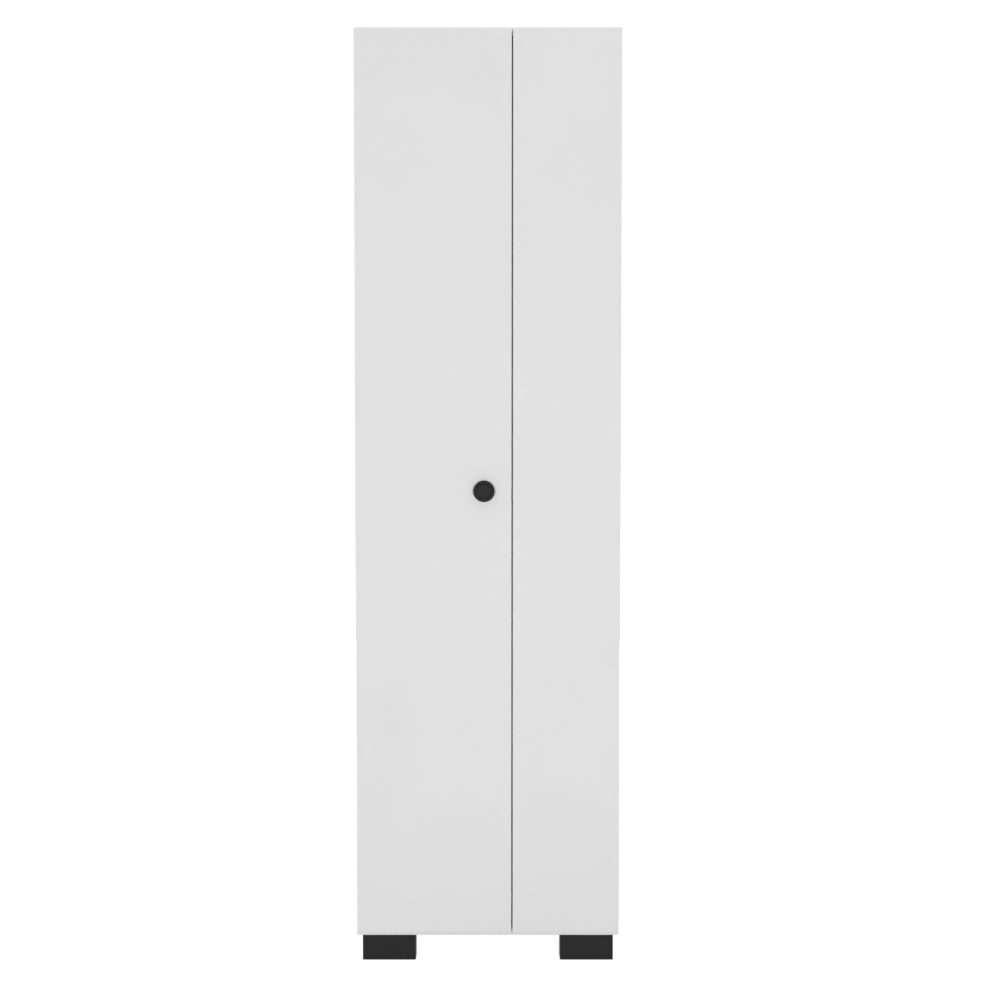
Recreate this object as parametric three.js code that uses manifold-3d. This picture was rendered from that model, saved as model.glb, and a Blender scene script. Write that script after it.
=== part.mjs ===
// Broom cupboard: a tall flat-pack cupboard on four plastic feet, with a wide and a narrow door.
// Shelves fill the left bay. The right bay is a tall space for brooms, with one shelf and a hook rail.
// Lengths are in millimetres. X runs to the right, Y to the back and Z up from the floor.
// The origin is on the floor, in the middle of the whole box, knob included.

import * as THREE from 'three';
import { mergeVertices } from 'three/addons/utils/BufferGeometryUtils.js';
import Module from 'manifold-3d';

const wasm = await Module();
wasm.setup();

// Driving dimensions of the carcass
const cupboardWidth = 482;
const cupboardHeight = 1700;
const carcassDepth = 330;
const board = 15;
const shelfSetback = 25;
const looseShelfFit = 0.4;
const leftShelfCount = 4;
const fixedLeftShelf = 2;
const broomShelfDrop = 240;

// Driving dimensions of the peg holes, in rows beside each loose shelf
const pegHoleRadius = 2.5;
const pegHoleDepth = 10;
const pegHoleSetback = 37;
const pegHoleSpacing = 32;
const pegHolesEachWay = 1;

// Driving dimensions of the back
const backSheet = 3;
const backInset = 2;
const stripFlange = 1;
const stripHalfHeight = 7;
const stripWeb = 1.2;
const stripFit = 0.3;

// Driving dimensions of the doors
const doorThickness = 15;
const doorEdgeRadius = 1;
const doorSideReveal = 1;
const doorTopReveal = 7;
const doorBottomReveal = 10;
const doorStandoff = 2.5;
const doorsGap = 2.2;
const doorsGapOffset = 44;

// Driving dimensions of the knob and its screw
const knobInset = 50;
const knobRise = 810;
const knobRadius = 19.5;
const knobNeckRadius = 8.5;
const knobNeckLength = 11.5;
const knobHeadLength = 10.5;
const knobRimRadius = 3.6;
const knobButtonRadius = 12;
const knobButtonRise = 3;
const knobButtonEdge = 0.9;
const knobBoreDepth = 16;
const knobScrewRadius = 2;
const knobScrewHeadRadius = 4.2;
const knobScrewHead = 2.2;
const screwFit = 0.3;

// Driving dimensions of the door bumpers
const bumperRadius = 4;
const bumperThickness = 2.2;
const bumperMargin = 0.5;
const bumperInset = 14;

// Driving dimensions of the feet
const footLength = 98;
const footDepth = 40;
const footHeight = 47;
const footInset = 10;
const footSetback = 2;
const footCornerRadius = 3;
const footWall = 3;
const footRib = 2.4;
const footTopPlate = 4;
const footBossRadius = 8;
const footScrewRadius = 2.5;
const footCellsAlong = 4;
const footCellsAcross = 2;

// Driving dimensions of the hook rail and its hooks
const railHeight = 64;
const railDrop = 70;
const hookCount = 2;
const hookWidth = 14;
const hookThickness = 3;
const hookPlate = 56;
const hookBendRadius = 12;
const hookTip = 18;
const hookScrewRadius = 2.2;

// Driving dimensions of the hinge cup, which sits in a round bore in the door
const hingeEndDistance = 100;
const cupBoreRadius = 17.5;
const cupBoreDepth = 11.8;
const cupEdgeDistance = 3;
const cupFit = 0.3;
const cupWall = 1.3;
const cupFloor = 1.1;
const cupRim = 1.2;
const cupRimWidth = 1.8;
const cupScrewSpacing = 45;
const cupScrewOffset = 9.5;
const cupEarRadius = 6;
const cupScrewRadius = 2.1;
const bearingReach = 4.3;

// Driving dimensions of the hinge pin
const pinRadius = 1.25;
const pinInset = 6.7;
const pinDepth = 7.6;
const pinFit = 0.1;
const pinSeat = 2;

// Driving dimensions of the cranked hinge arm
const knuckleRadius = 2.3;
const knuckleGap = 0.2;
const neckHalfWidth = 3.5;
const neckGap = 0.3;
const neckBack = 0.6;
const legClearance = 1.5;
const armThickness = 2.9;
const armBendRadius = 2.4;
const armWeb = 1.5;
const armWall = 1.2;
const armHalfWidth = 8;
const armFit = 0.3;
const armLength = 58;
const armTaperStart = 2;
const armTaperEnd = 12;
const armCornerRadius = 3;
const armSlotLength = 10;
const armAdjusterRadius = 3;
const armAdjusterSetback = 22;

// Driving dimensions of the mounting plate and the screw that holds the arm on it
const plateThickness = 2;
const plateRailRise = 3.5;
const plateRailHalfWidth = 6.4;
const plateRailStart = 16;
const plateRailEnd = 54;
const plateScrewSetback = 37;
const plateScrewSpacing = 32;
const plateWingRadius = 6;
const plateScrewRadius = 2.25;
const armScrewRadius = 2.3;
const armScrewHeadRadius = 4.8;
const armScrewHead = 2.2;
const armScrewChamfer = 0.5;
const crossWidth = 1;
const crossLength = 5.4;
const crossDepth = 1.2;

// Driving dimensions of the cam bores that hold the fixed boards
const camRadius = 7.5;
const camDepth = 12.5;
const camEndDistance = 24;
const camFrontDistance = 40;

// One overrun serves every cut, and one tolerance joins the corners of neighbouring faces.
const overrun = 1;
const cornerTolerance = 0.001;

// Numbers of flat sides that stand for a full turn
const boreSides = 24;
const camSides = 12;
const smallSides = 10;
const pinSides = 12;
const pegHoleSides = 8;
const knobSides = 32;
const rimSteps = 6;
const bevelSteps = 3;

// Numbers of steps in each half of an arc, for bends, for round ends and for small corners
const bendSteps = 4;
const endSteps = 2;
const cornerSteps = 1;

// Places along Y, from the wall side to the knob
const knobProjection = knobNeckLength + knobHeadLength + knobButtonRise;
const overallDepth = stripFlange + backSheet + carcassDepth + doorStandoff + doorThickness + knobProjection;
const sheetRearY = overallDepth / 2 - stripFlange;
const carcassRearY = sheetRearY - backSheet;
const carcassFrontY = carcassRearY - carcassDepth;
const doorBackY = carcassFrontY - doorStandoff;
const doorFrontY = doorBackY - doorThickness;

// Places along X and Z
const sideX = cupboardWidth / 2;
const innerX = sideX - board;
const partitionLeftX = doorsGapOffset - board / 2;
const partitionRightX = doorsGapOffset + board / 2;
const floorTopZ = footHeight + board;
const ceilingZ = cupboardHeight - board;
const middleZ = (footHeight + cupboardHeight) / 2;
const broomShelfZ = ceilingZ - broomShelfDrop - board;
const railTopZ = broomShelfZ - railDrop;

// The two doors: their sides, and how far along X the hinge side lies
const leftDoor = { x0: -sideX + doorSideReveal, x1: doorsGapOffset - doorsGap / 2 };
const rightDoor = { x0: doorsGapOffset + doorsGap / 2, x1: sideX - doorSideReveal };
const doorBottomZ = footHeight + doorBottomReveal;
const doorTopZ = cupboardHeight - doorTopReveal;
const knobX = leftDoor.x1 - knobInset;
const knobZ = doorBottomZ + knobRise;
const hingeHeights = {
  lower: doorBottomZ + hingeEndDistance,
  middle: middleZ,
  upper: doorTopZ - hingeEndDistance,
};

// Places in a hinge's own frame: X inwards from the cupboard's side, Y back from the carcass's front edge
const cupX = doorSideReveal + cupEdgeDistance + cupBoreRadius;
const cupRadius = cupBoreRadius - cupFit;
const cupFloorY = -doorStandoff - cupBoreDepth + cupFit;
const pinX = doorSideReveal + pinInset;
const pinY = -doorStandoff - pinDepth;
const pocketX = pinX + bearingReach;
const slotHalfWidth = neckHalfWidth + neckGap;
const pinHalfLength = slotHalfWidth + pinSeat;
const legInX = pinX + pinDepth + legClearance;
const legOutX = legInX + armThickness;
const plateTopX = board + plateThickness;
const plateRailX = plateTopX + plateRailRise;
const armLowX = plateTopX + armFit;
const webLowX = plateRailX + armFit;
const webTopX = webLowX + armWeb;
const channelHalfWidth = armHalfWidth - armWall;
const channelStart = plateRailStart - overrun;

// A closed geometry as a solid that can be joined and cut
function toSolid(geometry) {
  const bare = geometry.index ? geometry.toNonIndexed() : geometry.clone();
  bare.deleteAttribute('normal');
  bare.deleteAttribute('uv');
  const merged = mergeVertices(bare, cornerTolerance);
  return new wasm.Manifold(new wasm.Mesh({
    numProp: 3,
    vertProperties: merged.attributes.position.array,
    triVerts: new Uint32Array(merged.index.array),
  }));
}

// A solid as a geometry again
function toGeometry(solid) {
  const mesh = solid.getMesh();
  const geometry = new THREE.BufferGeometry();
  geometry.setAttribute('position', new THREE.BufferAttribute(new Float32Array(mesh.vertProperties), 3));
  geometry.setIndex(new THREE.BufferAttribute(new Uint32Array(mesh.triVerts), 1));
  return geometry;
}

function join(geometries) {
  const solids = geometries.map(toSolid);
  return toGeometry(solids.reduce((whole, piece) => whole.add(piece)));
}

function cut(geometry, tools) {
  return toGeometry(tools.map(toSolid).reduce((whole, tool) => whole.subtract(tool), toSolid(geometry)));
}

function common(first, second) {
  return toGeometry(toSolid(first).intersect(toSolid(second)));
}

// A straight-sided block between two corners
function block(x0, x1, y0, y1, z0, z1) {
  const geometry = new THREE.BoxGeometry(x1 - x0, y1 - y0, z1 - z0);
  geometry.translate((x0 + x1) / 2, (y0 + y1) / 2, (z0 + z1) / 2);
  return geometry;
}

// Round rods along each axis, given by the two places that they don't run along and the two ends
function rodAlongX(radius, y, z, x0, x1, sides = smallSides) {
  const geometry = new THREE.CylinderGeometry(radius, radius, x1 - x0, sides);
  geometry.rotateZ(Math.PI / 2);
  geometry.translate((x0 + x1) / 2, y, z);
  return geometry;
}

function rodAlongY(radius, x, z, y0, y1, sides = smallSides) {
  const geometry = new THREE.CylinderGeometry(radius, radius, y1 - y0, sides);
  geometry.translate(x, (y0 + y1) / 2, z);
  return geometry;
}

function rodAlongZ(radius, x, y, z0, z1, sides = smallSides) {
  const geometry = new THREE.CylinderGeometry(radius, radius, z1 - z0, sides);
  geometry.rotateX(Math.PI / 2);
  geometry.translate(x, y, (z0 + z1) / 2);
  return geometry;
}

// An outline in X and Y, raised along Z
function raiseAlongZ(outline, z0, z1, steps) {
  const geometry = new THREE.ExtrudeGeometry(outline, {
    depth: z1 - z0,
    bevelEnabled: false,
    curveSegments: steps,
  });
  geometry.translate(0, 0, z0);
  return geometry;
}

// An outline in Y and Z, raised along X
function raiseAlongX(outline, x0, x1, steps) {
  const geometry = raiseAlongZ(outline, x0, x1, steps);
  geometry.rotateY(Math.PI / 2);
  geometry.rotateX(Math.PI / 2);
  return geometry;
}

// An outline in X and Z, raised along Y
function raiseAlongY(outline, y0, y1, steps) {
  const geometry = raiseAlongZ(outline, -y1, -y0, steps);
  geometry.rotateX(Math.PI / 2);
  return geometry;
}

// A rectangle with round corners
function roundedRectangle(a0, a1, b0, b1, radius) {
  const outline = new THREE.Shape();
  outline.moveTo(a0 + radius, b0);
  outline.absarc(a1 - radius, b0 + radius, radius, -Math.PI / 2, 0);
  outline.absarc(a1 - radius, b1 - radius, radius, 0, Math.PI / 2);
  outline.absarc(a0 + radius, b1 - radius, radius, Math.PI / 2, Math.PI);
  outline.absarc(a0 + radius, b0 + radius, radius, Math.PI, Math.PI * 3 / 2);
  return outline;
}

// A turned shape: radius and height pairs that start and end on the axis, which is Y
function turned(profile, sides) {
  return new THREE.LatheGeometry(profile.map(([radius, height]) => new THREE.Vector2(radius, height)), sides);
}

// Points on an arc, each as a radius from the axis and a height
function arcPoints(centreRadius, centreHeight, radius, startAngle, endAngle, steps) {
  const points = [];
  for (let step = 0; step <= steps; step += 1) {
    const angle = startAngle + (endAngle - startAngle) * step / steps;
    points.push([centreRadius + radius * Math.cos(angle), centreHeight + radius * Math.sin(angle)]);
  }
  return points;
}

// The height of a shelf's underside when the left bay is shared out evenly
function leftShelfHeight(number) {
  const pitch = (ceilingZ - floorTopZ + board) / (leftShelfCount + 1);
  return floorTopZ + number * pitch - board;
}

// The peg holes in one wall of the left bay: beside each loose shelf a hole just below it, where its peg
// goes, and others above and below, so that the shelf can be moved
function pegHoles(x0, x1) {
  const holes = [];
  for (let number = 1; number <= leftShelfCount; number += 1) {
    if (number === fixedLeftShelf) continue;
    const pegZ = leftShelfHeight(number) - pegHoleRadius;
    for (let step = -pegHolesEachWay; step <= pegHolesEachWay; step += 1) {
      for (const y of [carcassFrontY + pegHoleSetback, carcassRearY - pegHoleSetback]) {
        holes.push(rodAlongX(pegHoleRadius, y, pegZ + step * pegHoleSpacing, x0, x1, pegHoleSides));
      }
    }
  }
  return holes;
}

// The left side panel has peg holes in its inner face, and the right one is plain.
function leftSidePanel() {
  const panel = block(-sideX, -innerX, carcassFrontY, carcassRearY, footHeight, cupboardHeight);
  return cut(panel, pegHoles(-innerX - pegHoleDepth, -innerX + overrun));
}

function rightSidePanel() {
  return block(innerX, sideX, carcassFrontY, carcassRearY, footHeight, cupboardHeight);
}

// Four round pockets for the cams that draw a board against its neighbours
function camBores(x0, x1, y0, y1, z0, z1) {
  const bores = [];
  for (const x of [x0 + camEndDistance, x1 - camEndDistance]) {
    for (const y of [y0 + camFrontDistance, y1 - camFrontDistance]) {
      bores.push(rodAlongZ(camRadius, x, y, z0, z1, camSides));
    }
  }
  return bores;
}

// The top board takes its cams from above, out of sight.
function topPanel() {
  const panel = block(-innerX, innerX, carcassFrontY, carcassRearY, ceilingZ, cupboardHeight);
  return cut(panel, camBores(
    -innerX, innerX, carcassFrontY, carcassRearY, cupboardHeight - camDepth, cupboardHeight + overrun,
  ));
}

// A board that takes its cams from below: the bottom board and the fixed shelves
function boardWithCamsBelow(x0, x1, frontY, z0) {
  const panel = block(x0, x1, frontY, carcassRearY, z0, z0 + board);
  return cut(panel, camBores(x0, x1, frontY, carcassRearY, z0 - overrun, z0 + camDepth));
}

// The board between the bays, behind the gap between the doors, is set back like the shelves.
// It has peg holes on its left.
function partition() {
  const frontY = carcassFrontY + shelfSetback;
  const panel = block(partitionLeftX, partitionRightX, frontY, carcassRearY, floorTopZ, ceilingZ);
  return cut(panel, pegHoles(partitionLeftX - overrun, partitionLeftX + pegHoleDepth));
}

// One left shelf: the fixed one reaches both walls, and a loose one lies between them on pegs.
function leftShelf(number) {
  const z0 = leftShelfHeight(number);
  const frontY = carcassFrontY + shelfSetback;
  if (number === fixedLeftShelf) return boardWithCamsBelow(-innerX, partitionLeftX, frontY, z0);
  const x0 = -innerX + looseShelfFit;
  const x1 = partitionLeftX - looseShelfFit;
  return block(x0, x1, frontY, carcassRearY - looseShelfFit, z0, z0 + board);
}

function broomShelf() {
  return boardWithCamsBelow(partitionRightX, innerX, carcassFrontY + shelfSetback, broomShelfZ);
}

// A thin sheet behind half of the carcass
function backPanel(z0, z1) {
  return block(-sideX + backInset, sideX - backInset, carcassRearY, sheetRearY, z0, z1);
}

// The strip that joins the two sheets: a rear flange right across and a front flange inside each bay
function backJoiningStrip() {
  const x0 = -sideX + backInset;
  const x1 = sideX - backInset;
  const rearY = sheetRearY + stripFlange;
  const bays = [[-innerX, partitionLeftX], [partitionRightX, innerX]];
  const pieces = [
    block(x0, x1, carcassRearY, rearY, middleZ - stripWeb / 2, middleZ + stripWeb / 2),
    block(x0, x1, sheetRearY, rearY, middleZ - stripHalfHeight, middleZ + stripHalfHeight),
  ];
  for (const [bay0, bay1] of bays) {
    const a0 = bay0 + stripFit;
    const a1 = bay1 - stripFit;
    const frontY = carcassRearY - stripFlange;
    pieces.push(block(a0, a1, frontY, rearY, middleZ - stripWeb / 2, middleZ + stripWeb / 2));
    pieces.push(block(a0, a1, frontY, carcassRearY, middleZ - stripHalfHeight, middleZ + stripHalfHeight));
  }
  return join(pieces);
}

// The board across the back of the broom bay that carries the hooks
function hookRail() {
  return block(partitionRightX, innerX, carcassRearY - board, carcassRearY, railTopZ - railHeight, railTopZ);
}

// The outline of a bent strap hook seen from its side: forward is to the right, with the rail at zero
function hookOutline() {
  const inner = hookBendRadius - hookThickness;
  const tipOut = hookBendRadius * 2;
  const tipIn = tipOut - hookThickness;
  const outline = new THREE.Shape();
  outline.moveTo(0, hookPlate);
  outline.lineTo(0, 0);
  outline.absarc(hookBendRadius, 0, hookBendRadius, Math.PI, 0, false);
  outline.lineTo(tipOut, hookTip);
  outline.absarc(tipOut - hookThickness / 2, hookTip, hookThickness / 2, 0, Math.PI);
  outline.lineTo(tipIn, 0);
  outline.absarc(hookBendRadius, 0, inner, 0, Math.PI, true);
  outline.lineTo(hookThickness, hookPlate);
  return outline;
}

// One hook, with two screw holes in its plate, on the front of the rail
function broomHook(x) {
  const frontY = carcassRearY - board;
  const lowZ = railTopZ - railHeight;
  const strap = raiseAlongZ(hookOutline(), -hookWidth / 2, hookWidth / 2, bendSteps);
  strap.rotateX(Math.PI / 2);
  strap.rotateZ(-Math.PI / 2);
  strap.translate(x, frontY, lowZ);
  const screwHeights = [hookPlate / 3, hookPlate - hookWidth / 2];
  const holes = screwHeights.map((height) => rodAlongY(
    hookScrewRadius, x, lowZ + height, frontY - hookThickness - overrun, frontY + overrun,
  ));
  return cut(strap, holes);
}

// One foot: an open-bottomed moulding with cells between its ribs, a middle boss and two screw holes
function foot(x0, y0) {
  const x1 = x0 + footLength;
  const y1 = y0 + footDepth;
  const shell = raiseAlongZ(roundedRectangle(x0, x1, y0, y1, footCornerRadius), 0, footHeight, endSteps);
  const cellLength = (footLength - 2 * footWall - (footCellsAlong - 1) * footRib) / footCellsAlong;
  const cellWidth = (footDepth - 2 * footWall - (footCellsAcross - 1) * footRib) / footCellsAcross;
  const cells = [];
  for (let along = 0; along < footCellsAlong; along += 1) {
    for (let across = 0; across < footCellsAcross; across += 1) {
      const a0 = x0 + footWall + along * (cellLength + footRib);
      const b0 = y0 + footWall + across * (cellWidth + footRib);
      cells.push(block(a0, a0 + cellLength, b0, b0 + cellWidth, -overrun, footHeight - footTopPlate));
    }
  }
  const boss = rodAlongZ(footBossRadius, (x0 + x1) / 2, (y0 + y1) / 2, 0, footHeight - footTopPlate / 2);
  const holeY = y0 + footWall + cellWidth / 2;
  const holes = [x0 + footWall + cellLength / 2, x1 - footWall - cellLength / 2].map((x) => rodAlongZ(
    footScrewRadius, x, holeY, footHeight - footTopPlate - overrun, footHeight + overrun,
  ));
  return cut(join([cut(shell, cells), boss]), holes);
}

// A door: a board with softened edges, a round bore for each hinge cup and any screw holes
function door({ x0, x1 }, cupCentreX, screwHoles) {
  const outline = new THREE.Shape();
  outline.moveTo(x0, doorBottomZ);
  outline.lineTo(x1, doorBottomZ);
  outline.lineTo(x1, doorTopZ);
  outline.lineTo(x0, doorTopZ);
  const panel = new THREE.ExtrudeGeometry(outline, {
    depth: doorThickness - 2 * doorEdgeRadius,
    bevelThickness: doorEdgeRadius,
    bevelSize: doorEdgeRadius,
    bevelOffset: -doorEdgeRadius,
    bevelSegments: bevelSteps,
  });
  panel.rotateX(Math.PI / 2);
  panel.translate(0, doorBackY - doorEdgeRadius, 0);
  const bores = Object.values(hingeHeights).map((z) => rodAlongY(
    cupBoreRadius, cupCentreX, z, doorBackY - cupBoreDepth, doorBackY + overrun, boreSides,
  ));
  return cut(panel, [...bores, ...screwHoles]);
}

function knobScrewHole() {
  return rodAlongY(knobScrewRadius + screwFit, knobX, knobZ, doorFrontY - overrun, doorBackY + overrun);
}

// The knob's profile from its seat on the door outwards: a waisted neck, a wide head with a round rim,
// a shallow dish and a raised flat button in the middle
function knobProfile() {
  const headHeight = knobNeckLength + knobHeadLength;
  const rimCentre = knobRadius - knobRimRadius;
  const rimHeight = headHeight - knobRimRadius;
  const footFlare = knobNeckRadius + knobRimRadius / 2;
  const buttonTop = headHeight + knobButtonRise;
  const buttonEdge = arcPoints(
    knobButtonRadius - knobButtonEdge, buttonTop - knobButtonEdge, knobButtonEdge, 0, Math.PI / 2, bevelSteps,
  );
  return [
    [0, 0],
    [footFlare, 0],
    [knobNeckRadius, knobRimRadius],
    [knobNeckRadius, knobNeckLength - knobRimRadius],
    [footFlare, knobNeckLength],
    ...arcPoints(rimCentre, rimHeight, knobRimRadius, -Math.PI / 3, Math.PI / 2, rimSteps),
    [knobButtonRadius, headHeight - knobButtonEdge],
    ...buttonEdge,
    [0, buttonTop],
  ];
}

function doorKnob() {
  const knob = turned(knobProfile(), knobSides);
  const bore = rodAlongY(knobScrewRadius + screwFit, 0, 0, -overrun, knobBoreDepth);
  const geometry = cut(knob, [bore]);
  geometry.rotateX(Math.PI);
  geometry.translate(knobX, doorFrontY, knobZ);
  return geometry;
}

// A cross recess in a screw head, cut from the head's top, which is at zero height on the Y axis
function crossRecess(topY) {
  const half = crossLength / 2;
  return [
    block(-half, half, topY - crossDepth, topY + overrun, -crossWidth / 2, crossWidth / 2),
    block(-crossWidth / 2, crossWidth / 2, topY - crossDepth, topY + overrun, -half, half),
  ];
}

// A screw that points down the Y axis, with the underside of its head at zero
function screw(radius, length, headRadius, headHeight, chamfer) {
  const body = turned([
    [0, -length],
    [radius, -length],
    [radius, 0],
    [headRadius, 0],
    [headRadius, headHeight - chamfer],
    [headRadius - chamfer, headHeight],
    [0, headHeight],
  ], smallSides);
  return cut(body, crossRecess(headHeight));
}

// The screw from inside the door that holds the knob
function knobScrew() {
  const length = doorThickness + knobBoreDepth - screwFit;
  const geometry = screw(knobScrewRadius, length, knobScrewHeadRadius, knobScrewHead, armScrewChamfer);
  geometry.translate(knobX, doorBackY, knobZ);
  return geometry;
}

// A soft domed disc on the inside of a door, which meets the carcass's front edge
function doorBumper(x, z) {
  const dome = bumperThickness / 2;
  const geometry = turned([
    [0, 0],
    [bumperRadius, 0],
    [bumperRadius, dome],
    ...arcPoints(bumperRadius - dome, dome, dome, 0, Math.PI / 2, bevelSteps).slice(1),
    [0, bumperThickness],
  ], smallSides);
  geometry.translate(x, doorBackY, z);
  return geometry;
}

// The hinge cup: a round well in the door, with a rim on the door's face, two screw ears
// and two bearing blocks that hold the pin on each side of the arm's slot
function hingeCup() {
  const faceY = -doorStandoff;
  const rimY = faceY + cupRim;
  const floorY = cupFloorY + cupFloor;
  const earX = cupX + cupScrewOffset;
  const earZ = cupScrewSpacing / 2;
  const reach = earZ + cupEarRadius;
  const far = cupX + reach;
  const farSide = block(pocketX, far, -far, far, -far, far);
  const well = rodAlongY(cupRadius, cupX, 0, cupFloorY, faceY, boreSides);
  const collar = rodAlongY(cupRadius, cupX, 0, cupFloorY, rimY, boreSides);
  const rim = rodAlongY(cupBoreRadius + cupRimWidth, cupX, 0, faceY, rimY, boreSides);
  const earOutline = roundedRectangle(earX - cupEarRadius, earX + cupEarRadius, -reach, reach, cupEarRadius);
  const ears = raiseAlongY(earOutline, faceY, rimY, endSteps);
  const body = join([well, common(join([collar, rim, ears]), farSide)]);
  const round = rodAlongY(cupRadius - cupWall, cupX, 0, floorY, rimY + overrun, boreSides);
  const slotX = pinX - knuckleRadius - knuckleGap;
  const slot = block(slotX, pocketX + overrun, floorY, rimY + overrun, -slotHalfWidth, slotHalfWidth);
  const pinReach = pinHalfLength + pinFit;
  const pinHole = rodAlongZ(pinRadius + pinFit, pinX, pinY, -pinReach, pinReach, pinSides);
  const screwHoles = [-earZ, earZ].map((z) => rodAlongY(
    cupScrewRadius, earX, z, faceY - overrun, rimY + overrun,
  ));
  return cut(body, [common(round, farSide), slot, pinHole, ...screwHoles]);
}

function hingePin() {
  return rodAlongZ(pinRadius, pinX, pinY, -pinHalfLength, pinHalfLength, pinSides);
}

// The arm in plan: from the knuckle on the pin it runs inwards, bends back past the door's edge
// and steps up onto the mounting plate's rail.
function armPlan() {
  const frontY = pinY - knuckleRadius;
  const outline = new THREE.Shape();
  outline.moveTo(pinX, frontY);
  outline.absarc(legOutX - armBendRadius, frontY + armBendRadius, armBendRadius, -Math.PI / 2, 0);
  outline.lineTo(legOutX, -armTaperStart);
  outline.lineTo(webTopX, armTaperStart);
  outline.lineTo(webTopX, armLength);
  outline.lineTo(armLowX, armLength);
  outline.lineTo(armLowX, armTaperStart);
  outline.lineTo(legInX, -armTaperStart);
  outline.lineTo(legInX, pinY + neckBack);
  outline.lineTo(pinX, pinY + neckBack);
  return outline;
}

// The arm as seen from inside the cupboard: a narrow neck that widens into the channel, in Y and Z
function armElevation() {
  const frontY = pinY - knuckleRadius - overrun;
  const cornerY = armLength - armCornerRadius;
  const cornerZ = armHalfWidth - armCornerRadius;
  const outline = new THREE.Shape();
  outline.moveTo(frontY, -neckHalfWidth);
  outline.lineTo(armTaperStart, -neckHalfWidth);
  outline.lineTo(armTaperEnd, -armHalfWidth);
  outline.absarc(cornerY, -cornerZ, armCornerRadius, -Math.PI / 2, 0);
  outline.absarc(cornerY, cornerZ, armCornerRadius, 0, Math.PI / 2);
  outline.lineTo(armTaperEnd, armHalfWidth);
  outline.lineTo(armTaperStart, neckHalfWidth);
  outline.lineTo(frontY, neckHalfWidth);
  return outline;
}

// The cranked arm: plan and elevation together, hollowed into a channel that straddles the rail
function hingeArm() {
  const plan = raiseAlongZ(armPlan(), -armHalfWidth, armHalfWidth, endSteps);
  const elevation = raiseAlongX(armElevation(), 0, webTopX + overrun, cornerSteps);
  const knuckle = rodAlongZ(knuckleRadius, pinX, pinY, -neckHalfWidth, neckHalfWidth, pinSides);
  const channel = block(
    0, webLowX, channelStart, armLength + overrun, -channelHalfWidth, channelHalfWidth,
  );
  const pinHole = rodAlongZ(pinRadius + pinFit, pinX, pinY, -armHalfWidth, armHalfWidth, pinSides);
  const slotRadius = armScrewRadius + armFit;
  const slotY0 = plateScrewSetback - armSlotLength / 2;
  const slotY1 = plateScrewSetback + armSlotLength / 2;
  const slot = raiseAlongX(
    roundedRectangle(slotY0, slotY1, -slotRadius, slotRadius, slotRadius),
    webLowX - overrun, webTopX + overrun, endSteps,
  );
  const adjuster = rodAlongX(armAdjusterRadius, armAdjusterSetback, 0, webLowX - overrun, webTopX + overrun);
  return cut(join([common(plan, elevation), knuckle]), [channel, pinHole, slot, adjuster]);
}

// The mounting plate: two screwed wings and the rail that carries the arm
function mountingPlate() {
  const reach = plateScrewSpacing / 2 + plateWingRadius;
  const wingY0 = plateScrewSetback - plateWingRadius;
  const wingY1 = plateScrewSetback + plateWingRadius;
  const wings = raiseAlongX(
    roundedRectangle(wingY0, wingY1, -reach, reach, plateWingRadius), board, plateTopX, endSteps,
  );
  const half = plateRailHalfWidth;
  const rail = raiseAlongX(
    roundedRectangle(plateRailStart, plateRailEnd, -half, half, half / 2), board, plateRailX, cornerSteps,
  );
  const holes = [-plateScrewSpacing / 2, plateScrewSpacing / 2].map((z) => rodAlongX(
    plateScrewRadius, plateScrewSetback, z, board - overrun, plateTopX + overrun,
  ));
  holes.push(rodAlongX(armScrewRadius + armFit, plateScrewSetback, 0, board - overrun, plateRailX + overrun));
  return cut(join([wings, rail]), holes);
}

// The screw that clamps the arm to the rail
function armScrew() {
  const length = webTopX - board - armFit;
  const geometry = screw(armScrewRadius, length, armScrewHeadRadius, armScrewHead, armScrewChamfer);
  geometry.rotateZ(-Math.PI / 2);
  geometry.translate(webTopX, plateScrewSetback, 0);
  return geometry;
}

// Finishes: colour, roughness and metalness
const whiteBoard = [0xe2e2e2, 0.45, 0];
const backBoard = [0xd8d6d0, 0.7, 0];
const whitePlastic = [0xdcdcda, 0.5, 0];
const blackPlastic = [0x2c2c2d, 0.5, 0];
const knobPlastic = [0x303031, 0.35, 0];
const clearRubber = [0xcfd0cc, 0.4, 0];
const plainSteel = [0xb9babc, 0.35, 1];

const cupboard = new THREE.Group();

function add(name, geometry, [color, roughness, metalness], parent = cupboard) {
  const mesh = new THREE.Mesh(geometry, new THREE.MeshStandardMaterial({ color, roughness, metalness }));
  mesh.name = name;
  parent.add(mesh);
}

function addCarcass() {
  add('left_side_panel', leftSidePanel(), whiteBoard);
  add('right_side_panel', rightSidePanel(), whiteBoard);
  add('top_panel', topPanel(), whiteBoard);
  add('bottom_panel', boardWithCamsBelow(-innerX, innerX, carcassFrontY, footHeight), whiteBoard);
  add('partition', partition(), whiteBoard);
  for (let number = 1; number <= leftShelfCount; number += 1) {
    add(`left_shelf_${number}`, leftShelf(number), whiteBoard);
  }
  add('broom_bay_shelf', broomShelf(), whiteBoard);
}

function addBack() {
  const gap = stripWeb / 2 + stripFit;
  add('back_panel_lower', backPanel(footHeight + backInset, middleZ - gap), backBoard);
  add('back_panel_upper', backPanel(middleZ + gap, cupboardHeight - backInset), backBoard);
  add('back_joining_strip', backJoiningStrip(), whitePlastic);
}

function addHooks() {
  add('hook_rail', hookRail(), whiteBoard);
  const pitch = (innerX - partitionRightX) / (hookCount + 1);
  for (let number = 1; number <= hookCount; number += 1) {
    add(`broom_hook_${number}`, broomHook(partitionRightX + number * pitch), plainSteel);
  }
}

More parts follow.
